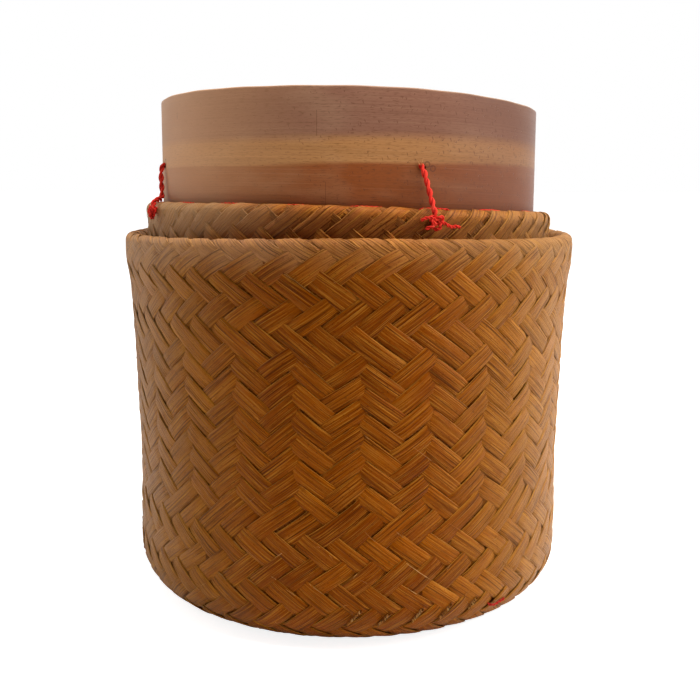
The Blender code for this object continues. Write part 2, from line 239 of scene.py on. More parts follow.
class Sheet:
    # a sheet of revolution through the middle of the plait: profile points (radius, height) in mm, walked so that
    # its seen face is on the right; s is the distance along it and apex the s that row 0 is centred on
    def __init__(self, name, rule, finish, profile, apex, wobble, seed, saddle, wrap, relief, pressed):
        self.name, self.body, self.rule, self.finish = name, f"{name}_basket", rule, finish
        p = np.asarray(profile, float)
        self.p = p[np.concatenate([[True], np.linalg.norm(np.diff(p, axis=0), axis=1) > 1e-6])]
        self.s = np.concatenate([[0], np.cumsum(np.linalg.norm(np.diff(self.p, axis=0), axis=1))])
        t = unit(np.gradient(self.p, self.s, axis=0))
        self.n = np.column_stack([t[:, 1], -t[:, 0]])
        top = self.s[np.argmax(self.p[:, 1])]
        self.apex = top if apex is None else self.s[-1] + apex
        self.foldLevel = (self.apex - top) / levelStep
        self.standing = self.p[0, 1] < 5  # it turns under onto the table
        self.wobble, self.seed = wobble, seed  # mm out of round, and the phase of all its sines
        self.saddle, self.wrap = saddle, wrap  # mm the rim is lower at its sides, and its top row pulled down
        self.relief, self.pressed = relief, pressed  # roll of the strips on wall and fold, and how flat the fold is

    def radius(self, s):
        return np.interp(s, self.s, self.p[:, 0])

    def at(self, angle, s, up):
        # the point at angle round, s along and up off the sheet. The plait is drawn out of true by slow sines of
        # both, the wall is gently out of round, the rim has settled lower at the sides, and nothing sinks into
        # the table
        drawn = angle + ripple(handmade["sideways"], angle, s, self.seed)
        s = np.clip(s + ripple(handmade["along"], angle, s, self.seed), self.s[0], self.s[-1])
        r, z = self.radius(s), np.interp(s, self.s, self.p[:, 1])
        nr, nz = np.interp(s, self.s, self.n[:, 0]), np.interp(s, self.s, self.n[:, 1])
        loose = self.wobble * smoothStep((z - handmade["from"]) / handmade["over"])
        r = r + up * nr + loose * ripple(handmade["outward"], drawn, s, self.seed)
        z = z + up * nz + loose * ripple(handmade["upward"], drawn, s, self.seed)
        z = z - self.saddle * smoothStep((z - handmade["saddleFrom"]) / handmade["saddleOver"]) * np.sin(drawn) ** 2
        return np.stack([r * np.sin(drawn), -r * np.cos(drawn), np.maximum(z, handmade["table"])], -1)

    def strandPoint(self, lean, n, h, across, up):
        # a point on strip n: its middle line goes round by half a pitch for each crossing h it passes, and lean
        # says which way; across is measured square to the strip, in mm. The wrap fades as a bell curve of h
        s = self.apex - h * levelStep - self.wrap * np.exp(-(h / strip["wrapReach"]) ** 2)
        r = self.radius(s)
        q = pitchAngle / 2 * r
        norm = np.hypot(q, levelStep)
        angle = (n - (0 if lean > 0 else 0.5)) * pitchAngle - lean * h * pitchAngle / 2
        return self.at(angle - levelStep / norm * across / r, s + lean * q / norm * across, up)


def outerRule(around, level):
    # True where the strip leaning right is on top. Rows of slanted floats, with upright columns in the middle
    row = np.where(level > 21, level // 2, (level + 1) // 2)
    columns = (level >= 9) & (level <= 21)
    return np.where(columns, around % 4 < 2, row % 2 == 1)


def innerRule(around, level):
    # over two and under two all the way up, and strips leaning right outermost over the fold
    return np.where(level <= 0, True, (level + 1) // 2 % 2 == 0)


def overUnder(x, turnOver, isOver):
    # 1 where a strip is over at its whole-numbered crossings and -1 where it is under, with a smooth step half way
    crossing = np.floor(x).astype(int)
    before, after = (np.where(isOver(m), 1.0, -1.0) for m in (crossing, crossing + 1))
    change = smoothStep((x - crossing - 0.5 + turnOver) / (2 * turnOver))
    return before * (1 - change) + after * change


def plaitStrip(bundle, sheet, lean, n, seed, startCut, endCut, tones):
    # One strip. Its height is a smooth step between +lift and -lift, as the rule says at each crossing; its ring
    # is a thin crowned oblong, rolled a little so that its upper edge lies over its neighbour
    g = np.random.default_rng(seed)
    first, last = (sheet.apex - sheet.s[-1]) / levelStep, sheet.apex / levelStep
    levels = np.arange(math.floor(first) - 1, math.ceil(last) + 2)
    fine = (levels[:, None] + crossingSteps).reshape(-1) + 0.5
    bends = foldSteps + sheet.foldLevel
    h = np.unique(np.concatenate([fine, bends + (0.06 if lean > 0 else 0.0)]))
    low, high = first + startCut / levelStep, last - endCut / levelStep
    h = np.concatenate([[low], h[(h > low + 0.05) & (h < high - 0.05)], [high]])[::-1]  # from the foot up
    s = sheet.apex - h * levelStep
    height = lean * overUnder(h - 0.5, strip["turnOver"], lambda m: sheet.rule(2 * n - lean * m, m))
    q = pitchAngle / 2 * sheet.radius(s)
    room = 2 * q * levelStep / np.hypot(q, levelStep) + strip["lap"]
    width = np.minimum(strip["width"] * g.uniform(*strip["widths"]) * (1 + 0.03 * waves(s, seed + 1, 27)), room)
    across = sectionAcross * width[:, None] / 2 + strip["wander"] * waves(s, seed + 2, 47)[:, None]
    thick = strip["thickness"] * g.uniform(*strip["thicknesses"])
    folded = np.exp(-((h - sheet.foldLevel * 0.6) / strip["foldReach"]) ** 2)
    roll = (strip["shingle"] + strip["roll"] * waves(s, seed + 3, 23)) * lean
    roll = roll * (sheet.relief[0] * (1 - folded) + sheet.relief[1] * folded)
    lift = strip["lift"] + 0.03 * waves(s, seed + 4, 17)
    z = np.interp(s, sheet.s, sheet.p[:, 1])
    heel = smoothStep((strip["heelTo"] - z) / strip["heelOver"]) if sheet.standing else 0
    lift = lift * (1 - sheet.pressed * folded) + strip["heel"] * heel
    up = (height * lift)[:, None] + sectionUp * thick + sectionCrown * strip["crown"]
    up = up + roll[:, None] * sectionAcross
    grid = sheet.strandPoint(lean, n, h[:, None], across, up)
    along = s * strip["slant"] + g.uniform(0, 4000)  # each strip has its own place in the grain
    uv = np.stack(np.broadcast_arrays(along[:, None], across + 3.5 + 9.0 * (seed % 97)), -1)
    bundle.addTube(grid, uv, {
        "tone": g.uniform(*tones),
        # sunk and under mark painted shade, where the strip passes under and along its lower edge; edge marks a
        # painted highlight on its upper edge
        "sunk": 0.5 - 0.5 * height[:, None],
        "edge": np.clip(lean * sectionAcross, 0, 1)[None, :],
        "under": np.clip(-lean * sectionAcross, 0, 1)[None, :],
        "frayed": 0.0,
        "worn": np.exp(-(h[:, None] / strip["wornReach"]) ** 2) * (1.0 if sheet.standing else 0.6),
    })


def plaitBasket(sheet, cuts, seed):
    # the two families of strips, each in two pieces of half the strips
    g = np.random.default_rng(seed)
    half = strip["count"] // 2
    for lean, family, tones in ((1, "right", (0.0, 0.8)), (-1, "left", (0.2, 1.0))):
        for part in (0, 1):
            bundle = Bundle()
            for n in range(part * half, part * half + half):
                start, end = g.uniform(*cuts), g.uniform(*cuts)
                stripSeed = seed * 1000 + n * 7 + (500 if lean > 0 else 0)
                plaitStrip(bundle, sheet, lean, n, stripSeed, end, start, tones)
            bundle.build(f"{sheet.name}_strips_{family}_{part + 1}", sheet.body,
                         [f"{sheet.name}_wall", f"{sheet.name}_lining"], sheet.finish)
    print(sheet.name, "basket plaited")


def addFibre(bundle, points, radius, seed, frayed, sunk=0.0):
    # a thin fibre along the points: a five-sided ring that tapers as the square root of what is left of its length
    t = unit(np.gradient(points, axis=0))
    a = unit(np.cross(t, [0.13, 0.21, 0.97]))  # any direction that no fibre follows
    b = np.cross(t, a)
    spin = np.arange(5) * turn / 5
    size = radius * np.sqrt(np.linspace(1, 0.08, len(points)))[:, None, None]
    ring = np.cos(spin)[:, None] * a[:, None] + np.sin(spin)[:, None] * b[:, None]
    far = np.linspace(0, 3, len(points))
    uv = np.stack(np.broadcast_arrays(far[:, None] + seed * 3.1, spin * radius), -1)
    # sunk darkens the fibre as painted shade
    bundle.addTube(points[:, None] + size * ring, uv, {
        "tone": (seed * 0.37) % 1, "sunk": sunk, "under": sunk, "edge": 0.0, "frayed": frayed, "worn": 0.0})


fibre = {
    "onRight": 0.3,  # share of them on strips leaning right
    "shortest": 1.2, "spread": (2.0, 0.8),  # mm, and the gamma spread of the length above that
    "crossing": 6.4,  # mm along a strip from crossing to crossing
    "inset": 0.25,  # mm in from the strip's edge, where it starts
    "drift": (-0.5, 0.6),  # mm sideways at its tip
    "up": 0.62, "rise": (0.05, 0.5),  # mm off the sheet, and more at its tip
    "thick": (0.06, 0.15),
}


def looseFibres(name, sheet, count, levels, seed, pale=(0.0, 0.55)):
    # fibres split off the strips' upper edges: each runs along its strip, drifts off it and lifts as the square of
    # its length; they start only where that strip is on top
    g = np.random.default_rng(seed)
    bundle = Bundle()
    step = np.linspace(0, 1, 7)
    for k in range(count):
        lean = 1 if g.uniform() < fibre["onRight"] else -1
        n, h0 = int(g.integers(strip["count"])), g.uniform(*levels)
        level = int(round(h0))
        length = fibre["shortest"] + g.gamma(*fibre["spread"])
        ahead = g.choice([-1, 1])
        if bool(sheet.rule(2 * n - lean * level, level)) != (lean > 0):
            continue
        h = h0 + ahead * step * length / fibre["crossing"]
        across = lean * (strip["width"] / 2 - fibre["inset"]) + lean * step ** 2 * g.uniform(*fibre["drift"])
        up = fibre["up"] + step ** 2 * g.uniform(*fibre["rise"])
        line = sheet.strandPoint(lean, n, h, across, up)
        addFibre(bundle, line, g.uniform(*fibre["thick"]), k, g.uniform(*pale))
    bundle.build(name, sheet.body, [], sheet.finish)


cutEnd = {
    "places": [(1.5, 24.9, 5.6), (8.2, 23.9, 6.2), (16.4, 25.0, 5.0), (23.6, 24.6, 5.6), (31.4, 25.2, 4.6)],
    "spacing": 0.86, "thick": (0.40, 0.50),  # mm
    "up": 0.7, "rise": (0.7, 1.1),  # mm off the sheet at the foot, and more at the tip
    "long": (0.2, 0.7), "pale": (0.15, 0.6),
    # the dark fibre behind the stubs: painted shadow, in place of the shade in the gap
    "gap": {"along": -0.6, "up": 0.95, "thick": 0.46},
}


def cutEnds(name, sheet, lean, seed):
    # ragged cut ends of strips: at each place (degrees round, s along, width) a comb of stubby fibres side by side,
    # that run on along the strip and stand up a little, with a dark fibre behind them as painted shadow
    g = np.random.default_rng(seed)
    bundle = Bundle()
    step, gap = np.linspace(0, 1, 6), cutEnd["gap"]
    for degrees, s0, width in cutEnd["places"]:
        r = float(sheet.radius(s0))
        q = pitchAngle / 2 * r
        norm = math.hypot(q, levelStep)
        lines = [(gap["along"] + 0 * step, (step - 0.5) * width, gap["up"] + 0 * step, gap["thick"], 0.0, 1.0)]
        for offset in np.arange(-width / 2 + 0.3, width / 2, cutEnd["spacing"]):
            along = step * g.uniform(*cutEnd["long"]) + g.uniform(-0.35, 0.1)
            sideways = offset + g.uniform(-0.12, 0.12) + step * g.uniform(-0.2, 0.2)
            up = cutEnd["up"] + step * g.uniform(*cutEnd["rise"])
            lines.append((along, sideways, up, g.uniform(*cutEnd["thick"]), g.uniform(*cutEnd["pale"]), 0.0))
        for along, sideways, up, radius, pale, sunk in lines:
            angle = math.radians(degrees) - (-lean * q * along / norm + levelStep * sideways / norm) / r
            s = s0 - levelStep / norm * along + lean * q / norm * sideways
            addFibre(bundle, sheet.at(angle, s, up), radius, int(g.integers(900)), pale, sunk)
    bundle.build(name, sheet.body, [], sheet.finish)


panel = {"pitch": 6.3, "width": 6.05, "lift": 0.22, "thickness": 0.40, "crown": 0.1, "shift": 0.12,  # mm
         "turnOver": 0.3}  # share of a crossing
panelSteps = np.array([0.0, 0.14, 0.30, 0.70, 0.86])  # where its strips have a ring, as shares of the pitch


def circlePanel(name, node, radius, height, faceUp, finish, angle, seed):
    # A flat disc of two sets of straight strips at right angles, each over two and under two; every strip is as
    # long as the circle's chord at its place
    g = np.random.default_rng(seed)
    bundle = Bundle()
    pitch = panel["pitch"]
    cosA, sinA = math.cos(angle), math.sin(angle)
    total = int(radius / pitch)
    face = 1 if faceUp else -1
    for family in (0, 1):
        sign = 1 - 2 * family
        for n in range(-total, total + 1):
            off = n * pitch + g.uniform(-panel["shift"], panel["shift"])
            reach = math.sqrt(max(radius ** 2 - (abs(off) + pitch / 2) ** 2, 4.0))
            x = (np.arange(-total - 2, total + 3)[:, None] + panelSteps).reshape(-1) * pitch
            x = np.concatenate([[-reach], x[(x > -reach + 0.3) & (x < reach - 0.3)], [reach]])
            up = sign * overUnder(x / pitch, panel["turnOver"], lambda m: (m + n * sign) % 4 < 2)
            across = sectionAcross * panel["width"] * g.uniform(0.95, 1.0) / 2 + off
            rise = up[:, None] * panel["lift"] + sectionUp * panel["thickness"] + sectionCrown * panel["crown"]
            px, py = np.broadcast_arrays(x[:, None], across[None, :])
            if family == 1:
                px, py = -py, px
            grid = np.stack([px * cosA - py * sinA, (px * sinA + py * cosA) * face, height + face * rise], -1)
            uv = np.stack(np.broadcast_arrays(x[:, None] + g.uniform(0, 3000), across + 200 + n * 8), -1)
            bundle.addTube(grid, uv, {
                # painted shade where the strips pass under and along both their edges
                "tone": g.uniform(0.1, 0.9), "sunk": 0.5 - 0.5 * up[:, None], "edge": 0.0,
                "under": np.abs(sectionAcross)[None, :], "frayed": 0.0, "worn": 0.0})
    bundle.build(name, node.split("_")[0] + "_basket", [node], finish)


def startMaterial(name, fixed, sizes, grit):
    # every material's start: its constant sockets, and noises stretched along the strand's UVs. sizes gives each
    # noise's mm along, mm across and detail
    made = bpy.data.materials.new(name)
    made.use_nodes = True
    add = partial(addNode, made.node_tree)
    for key, value in fixed.items():
        made.node_tree.nodes["Principled BSDF"].inputs[key].default_value = value
    uv = add("UVMap", uv_map="strand")
    patterns = {}
    for key, (along, across, detail) in sizes.items():
        stretched = add("Mapping", {"Vector": uv, "Scale": (1 / along, 1 / across, 1)})
        patterns[key] = add("TexNoise", {
            "Scale": 1.0, "Detail": float(detail), "Roughness": grit, "Vector": stretched}, noise_dimensions="2D")
    return made, add, uv, patterns


def layerColours(add, base, patterns, layers, look):
    # lays colours on the base one after another: each covers it by its strength where its pattern goes from one
    # value to another, as a smooth step
    for key, low, high, share, colour in layers:
        ends = {"Value": patterns[key], "From Min": low, "From Max": high, "To Max": share}
        mask = add("MapRange", ends, interpolation_type="SMOOTHSTEP")
        base = add("Mix", {0: mask, 6: base, 7: linearColour(look[colour])}, 2, data_type="RGBA")
    return base


def finishMaterial(made, outputs):
    for key, source in outputs.items():
        made.node_tree.links.new(source, made.node_tree.nodes["Principled BSDF"].inputs[key])
    return made


bambooLook = {
    "deep": "#783400",
    "warm": "#934800",
    "pale": "#CC9034",
    # dark of the knife's grooves, and painted shade in the seams: on strips that pass under and along lower edges
    "grooveAndShade": "#3E1800",
    "straw": "#DDB272",  # broken ends
    "paintedLight": "#B58236",  # painted light: painted sheen on the far sides, where light grazes the surface, and a painted highlight on the strips' upper edges
    "rubbed": "#C2905A",  # worn by hands: the rim
    "paintedSheen": "#C9A78C",  # painted sheen: a pale veil on the far sides, where the surface reflects the white room at a grazing angle; also painted light on the rim's left
    "shade": "#5A4632",  # painted shade on the rim's right
    "skin": "#E89A48",  # colour of its gloss and sheen
    "rimLeftLight": 0.12, "rimRightShade": 0.24,  # strength of the painted light on the rim's left and of the painted shade on its right
    "roughness": 0.42,
    "gloss": 0.22,  # specular level: a dry, rubbed skin
    "bloom": 0.26,  # pale sheen seen along the surface, from fine loose fibres
    "grooveMm": 0.40,  # spacing of the knife's grooves
    "fibreMm": 0.24,  # the fibres, drawn about twice as coarse as they are so that they show
    "bumpMm": 0.35,
}


def bambooMaterial(name, look):
    # split bamboo, planed by knife, smoked and handled: fibres run along the strip and its skin is satin. It has
    # painted shade in the seams and lower edges, painted sheen on the far sides, painted highlights on the upper
    # edges, and painted light and shade on the rim
    made, add, uv, patterns = startMaterial(name, {
        "IOR": 1.5, "Specular IOR Level": look["gloss"], "Specular Tint": linearColour(look["skin"]),
        "Sheen Weight": look["bloom"], "Sheen Roughness": 0.22, "Sheen Tint": linearColour(look["skin"]),
    }, {
        "broad": (60, 3.5, 2), "fibres": (14, look["fibreMm"], 3), "grooves": (34, look["grooveMm"], 2),
        "wide": (50, 1.2, 1), "patches": (7, 3.0, 2), "specks": (1.1, 0.4, 1),
    }, 0.5)
    for key in ("tone", "sunk", "edge", "under", "frayed", "worn"):
        patterns[key] = add("Attribute", output=2, attribute_name=key)
    place = add("TexCoord", output="Object")
    place = add("SeparateXYZ", {0: place}, "X")
    # its distance from the middle sets the painted sheen on the far sides
    patterns["aside"] = add("Math", {0: place}, operation="ABSOLUTE")  # metres from the middle
    # the rim's left-right position: it carries painted light on the rim's left and painted shade on its right
    patterns["rim"] = add("Math", {0: place, 1: patterns["worn"]}, operation="MULTIPLY")
    base = add("Mix", {
        0: patterns["tone"], 6: linearColour(look["deep"]), 7: linearColour(look["warm"])}, 2, data_type="RGBA")
    base = layerColours(add, base, patterns, [  # pattern, from, to, strength, colour
        ("broad", 0.42, 0.72, 0.25, "warm"),
        # painted sheen: the far sides made lighter and paler
        ("aside", 0.020, 0.075, 0.50, "paintedLight"),
        # painted sheen: a paler veil still on the farthest sides
        ("aside", 0.048, 0.082, 0.22, "paintedSheen"),
        ("worn", 0.1, 1.0, 0.33, "rubbed"),
        ("patches", 0.52, 0.75, 0.30, "deep"),
        ("fibres", 0.51, 0.77, 0.46, "pale"),
        ("grooves", 0.55, 0.74, 0.26, "pale"),
        ("grooves", 0.47, 0.27, 0.77, "grooveAndShade"),
        ("wide", 0.34, 0.22, 0.40, "grooveAndShade"),
        ("fibres", 0.455, 0.22, 0.56, "grooveAndShade"),
        ("specks", 0.68, 0.76, 0.55, "grooveAndShade"),
        # painted shade: strips darkened where they pass under others
        ("sunk", 0.45, 1.0, 0.45, "grooveAndShade"),
        # painted highlight on each strip's upper edge
        ("edge", 0.94, 1.0, 0.50, "paintedLight"),
        # painted shade along each strip's lower edge
        ("under", 0.90, 1.0, 0.45, "grooveAndShade"),
        # painted light on the rim's left and painted shade on its right
        ("rim", -0.004, -0.030, look["rimLeftLight"], "paintedSheen"),
        ("rim", 0.012, 0.045, look["rimRightShade"], "shade"),
        ("frayed", 0.0, 1.0, 0.65, "straw"),
    ], look)
    rough = add("MapRange", {
        "Value": patterns["fibres"], "To Min": look["roughness"] - 0.06, "To Max": look["roughness"] + 0.12})
    height = add("Math", {0: patterns["fibres"], 1: 0.5, 2: patterns["grooves"]}, operation="MULTIPLY_ADD")
    bump = add("Bump", {"Strength": 0.85, "Distance": look["bumpMm"] * mm, "Height": height})
    return finishMaterial(made, {"Base Color": base, "Roughness": rough, "Normal": bump})


smokedBamboo = bambooMaterial("smoked split bamboo", bambooLook)
# the inner basket's fold has stronger painted light on its left and painted shade on its right
roughBamboo = bambooMaterial("rough split bamboo", {
    **bambooLook, "rubbed": "#C08C60", "paintedSheen": "#CFA678", "bumpMm": 0.42, "grooveMm": 0.50,
    "rimLeftLight": 0.45, "rimRightShade": 0.34})
liningBamboo = bambooMaterial("split bamboo lining", {
    **bambooLook, "deep": "#8C5418", "warm": "#B57A35", "pale": "#D9AC6C"})

outerWall = catmullRom([(77.9, 16.6), (77.9, 32), (77.6, 48), (77.9, 64), (78.3, 80), (78.7, 96), (79.2, 108),
                        (79.9, 116), (80.7, 122), (80.9, 129)], 8)
outerLiningLine = catmullRom([(76.9, 129), (77.3, 108), (76.55, 80), (75.95, 48), (76.1, 16.6)], 8)
outerProfile = np.vstack([  # from the base's middle out, up the wall, over the rim and down the lining
    [(57.6, 0.75), (62.0, 0.75)],
    arcPoints((62, 16.6), 15.9, -90, 0)[1:],
    outerWall[1:],
    arcPoints((78.9, 129), 2.0, 0, 180, 20)[1:],
    outerLiningLine[1:],
    arcPoints((62, 16.6), 14.1, 0, -51)[1:],
    [(59.5, 5.6)],
])
outerSheet = Sheet("outer", outerRule, smokedBamboo, outerProfile, None, 0.35, 1.0, 2.5, 2.0, (1.0, 0.65), 0.35)
plaitBasket(outerSheet, (0, 1.5), 3)
circlePanel("outer_base_plait", "outer_base_panel", 62.0, 2.35, False, smokedBamboo, 0.4, 11)
circlePanel("outer_floor_plait", "outer_floor_panel", 66.5, 3.9, True, liningBamboo, 1.1, 12)
looseFibres("outer_loose_fibres", outerSheet, 330, (-1.0, 31.0), 21)
looseFibres("outer_foot_fibres", outerSheet, 420, (25.0, 32.0), 25, (0.1, 0.7))
cutEnds("outer_cut_ends", outerSheet, -1, 22)

slit = {"degrees": -9.5, "up": 58.8, "wide": 2.4, "tall": 2.3, "off": 0.52, "thick": 0.24}  # mm
bundle = Bundle()  # a short split in one long strip on the front: a dark fibre whose darkness is painted shade inside the split
step = np.linspace(-0.5, 0.5, 8)
slitAngle = np.radians(slit["degrees"]) + step * slit["wide"] / 77.6
slitLine = outerSheet.at(slitAngle, slit["up"] + step * slit["tall"], slit["off"])
addFibre(bundle, slitLine, slit["thick"], 5, 0.0, 1.0)
bundle.build("outer_split", "outer_basket", [], smokedBamboo)

innerSide = catmullRom([(72.0, 10), (71.9, 50), (72.3, 100), (72.3, 131), (72.8, 136.2)], 8)
innerLiningLine = catmullRom([(70.2, 133.5), (70.5, 100), (70.1, 50), (68.3, 9.8)], 8)
innerProfile = np.vstack([  # down the lining, round the mouth, up the side and over the closed end's fold
    innerLiningLine,
    arcPoints((70.1, 9.8), 1.8, 180, 360, 20)[1:],
    innerSide[1:],
    arcPoints((70.6, 137.4), 2.2, 0, 90, 14)[1:],
    [(68.3, 139.4)],
])
innerSheet = Sheet("inner", innerRule, roughBamboo, innerProfile, -9.0, 0.25, 2.0, 0.0, 0.0, (1.7, 1.7), 0.68)
plaitBasket(innerSheet, (0, 1.2), 5)
circlePanel("inner_end_plait", "inner_end_panel", 70.5, 137.65, True, smokedBamboo, 0.2, 13)
circlePanel("inner_ceiling_plait", "inner_ceiling_panel", 70.5, 134.85, False, liningBamboo,
            0.7, 14)
looseFibres("inner_loose_fibres", innerSheet, 420, (-2.0, 5.0), 23)
print("panels and loose fibres done")

band = {
    "radius": 67.1, "foot": 138.6, "height": 37.2, "thickness": 3.0, "tip": 0.9, "corner": 0.55,
    "startDegrees": 177.0, "lapDegrees": 35.0, "diveDegrees": 30.0,
    "planedOff": 0.9,  # mm lower at the sides
    "uneven": [(0.12, 5, 0, 0), (0.05, 23, 0, 1)],  # its upper edge, as sines
    "wornEdge": 0.9,  # mm from an edge
    "tieDegrees": (20, 110, 200, 290), "tieHoleUp": 13.7, "tieHoleRadius": 0.85,
    "laceDegrees": 159.5, "laceStep": 6.2, "laceHoles": 5, "laceHoleRadius": 0.62,
}
woodLook = {
    "crown": "#8B5E4B",  # the upper part, weathered reddish grey
    "stripe": "#B9814B",  # a band of paler wood along the middle
    "foot": "#904916",  # the lower part, oiled and orange
    "dark": "#5A3018",
    "worn": "#E2BC93",
    "faded": "#D8A070",  # bleached on the left
    "stripeFrom": 14.6, "stripeTo": 21.6,  # mm up the band
    "stripeRise": 1.5,  # mm that the grain rises from front to right
    "grainWander": 3.0,  # mm
    "roughness": 0.55, "gloss": 0.25, "grainMm": 0.55, "bumpMm": 0.05,
}
holeU = [band["radius"] * math.radians((d + 180) % 360 - 180) for d in band["tieDegrees"]]
# u, v and radius of each mark, and u, v and half length of each crack, in mm
stainMarks = [(holeU[0] + 1.2, 14.7, 0.85), (holeU[0] + 3.1, 13.6, 0.85), (holeU[3] + 0.4, 15.2, 0.9)]
hairCracks = [(-9.6, 26.0, 3.9), (-6.9, 4.2, 4.4), (-67.0, 30.0, 1.2), (31.0, 6.0, 2.0)]


def woodMaterial(name, look):
    # a thin plank of close-grained hardwood, steamed and bent: long grain round the band, a paler stripe, open
    # pores and a few hair cracks; satin, worn pale on its edges
    made, add, uv, patterns = startMaterial(name, {
        "IOR": 1.5, "Specular IOR Level": look["gloss"], "Sheen Weight": 0.18, "Sheen Roughness": 0.35,
    }, {
        "broad": (120, 5.0, 2), "grain": (60, look["grainMm"], 3), "fine": (2.2, 0.32, 2), "cloud": (30, 12, 2),
    }, 0.55)
    u = add("SeparateXYZ", {0: uv}, 0)
    v = add("SeparateXYZ", {0: uv}, 1)
    right = add("Math", {0: u, 1: band["radius"]}, operation="DIVIDE")
    right = add("Math", {0: right}, operation="SINE")  # -1 at the left to 1 at the right
    level = add("Math", {0: right, 1: -look["stripeRise"], 2: v}, operation="MULTIPLY_ADD")
    level = add("Math", {0: patterns["broad"], 1: look["grainWander"], 2: level}, operation="MULTIPLY_ADD")
    patterns["level"] = add("Math", {0: level, 1: look["grainWander"] / 2}, operation="SUBTRACT")
    patterns["worn"] = add("Attribute", output=2, attribute_name="worn")
    patterns["right"] = right
    patterns["upperRight"] = add("Math", {0: right, 1: level}, operation="MULTIPLY")
    poreSize = add("MapRange", {
        "Value": right, "From Min": -0.6, "From Max": 0.9, "To Min": 0.014, "To Max": 0.085})
    for key, slant, gap in (("pores", 0.6, 7.0), ("morePores", -0.35, 9.5)):  # short slanted strokes, gap in mm
        slanted = add("Mapping", {"Vector": uv, "Rotation": (0, 0, slant)})
        slanted = add("Mapping", {"Vector": slanted, "Scale": (3 / gap, 1 / gap, 1)})
        cells = add("TexVoronoi", {
            "Scale": 1.0, "Randomness": 1.0, "Vector": slanted}, voronoi_dimensions="2D", feature="F1")
        patterns[key] = add("Math", {0: cells, 1: poreSize}, operation="LESS_THAN")
    marks = []
    for markU, markV, radius in stainMarks:
        away = add("VectorMath", {0: uv, 1: (markU, markV, 0)}, 1, operation="DISTANCE")
        key = f"mark {markU}"
        patterns[key] = add("Math", {0: away, 1: radius, 2: 0.24}, operation="COMPARE")
        marks.append((key, 0.0, 1.0, 0.65, "dark"))
    for crackU, crackV, reach in hairCracks:
        wavy = add("Math", {0: patterns["fine"], 1: 0.3, 2: u}, operation="MULTIPLY_ADD")
        beside = add("Math", {0: wavy, 1: crackU + 0.15, 2: 0.11}, operation="COMPARE")
        within = add("Math", {0: v, 1: crackV, 2: reach}, operation="COMPARE")
        key = f"crack {crackU}"
        patterns[key] = add("Math", {0: beside, 1: within}, operation="MULTIPLY")
        marks.append((key, 0.0, 1.0, 0.45, "dark"))
    low, high = look["stripeFrom"], look["stripeTo"]
    base = layerColours(add, linearColour(look["foot"]), patterns, [  # pattern, from, to, strength, colour
        ("level", low - 0.7, low + 0.5, 1.0, "stripe"),
        ("level", high - 1.2, high + 2.5, 0.92, "crown"),
        ("cloud", 0.45, 0.75, 0.10, "worn"),
        ("broad", 0.47, 0.27, 0.14, "dark"),
        ("grain", 0.52, 0.25, 0.20, "dark"),
        ("grain", 0.55, 0.80, 0.08, "worn"),
        ("fine", 0.48, 0.22, 0.50, "dark"),
        ("right", -0.1, 0.8, 0.64, "dark"),
        ("upperRight", 16.0, 28.0, 0.45, "dark"),
        ("right", 0.0, -0.9, 0.60, "faded"),
        ("pores", 0.0, 1.0, 0.55, "dark"),
        ("morePores", 0.0, 1.0, 0.50, "dark"),
        ("worn", 0.35, 1.0, 0.35, "worn"),
    ] + marks, look)
    rough = add("MapRange", {
        "Value": patterns["grain"], "To Min": look["roughness"] - 0.08, "To Max": look["roughness"] + 0.12})
    pitted = add("Math", {0: patterns["pores"], 1: -1.2, 2: patterns["grain"]}, operation="MULTIPLY_ADD")
    bump = add("Bump", {"Strength": 0.7, "Distance": look["bumpMm"] * mm, "Height": pitted})
    return finishMaterial(made, {"Base Color": base, "Roughness": rough, "Normal": bump})


bentWood = woodMaterial("bent hardwood band", woodLook)
drill = {"sides": 16, "from": 58.0, "to": 72.0}  # mm from the middle


def cutHoles(obj, holes):
    # drills radial holes: each (degrees, height, radius) is a many-sided rod from inside the band to outside it
    spin = np.arange(drill["sides"]) * turn / drill["sides"]
    ring = np.column_stack([np.cos(spin), 0 * spin, np.sin(spin)])
    bundle = Bundle()
    for degrees, height, radius in holes:
        ends = [placeAt(degrees, ring * radius + [0, out, height]) for out in (drill["from"], drill["to"])]
        bundle.addTube(np.stack(ends)[:, ::-1], np.zeros((1, 1, 2)), {})
    cutter = bpy.data.meshes.new("drill")
    faces = np.vstack(bundle.quads).tolist() + [c.tolist() for c in bundle.caps]
    cutter.from_pydata((settle(np.vstack(bundle.points)) * mm).tolist(), [], faces)
    rods = addObject("drill", cutter)
    cut = obj.modifiers.new("holes", "BOOLEAN")
    cut.operation, cut.solver, cut.object = "DIFFERENCE", "EXACT", rods
    bpy.context.view_layer.update()
    drilled = bpy.data.meshes.new_from_object(obj.evaluated_get(bpy.context.evaluated_depsgraph_get()))
    obj.modifiers.clear()
    plain, obj.data = obj.data, drilled
    drilled.name = plain.name
    bpy.data.meshes.remove(plain)
    bpy.data.objects.remove(rods)
    bpy.data.meshes.remove(cutter)


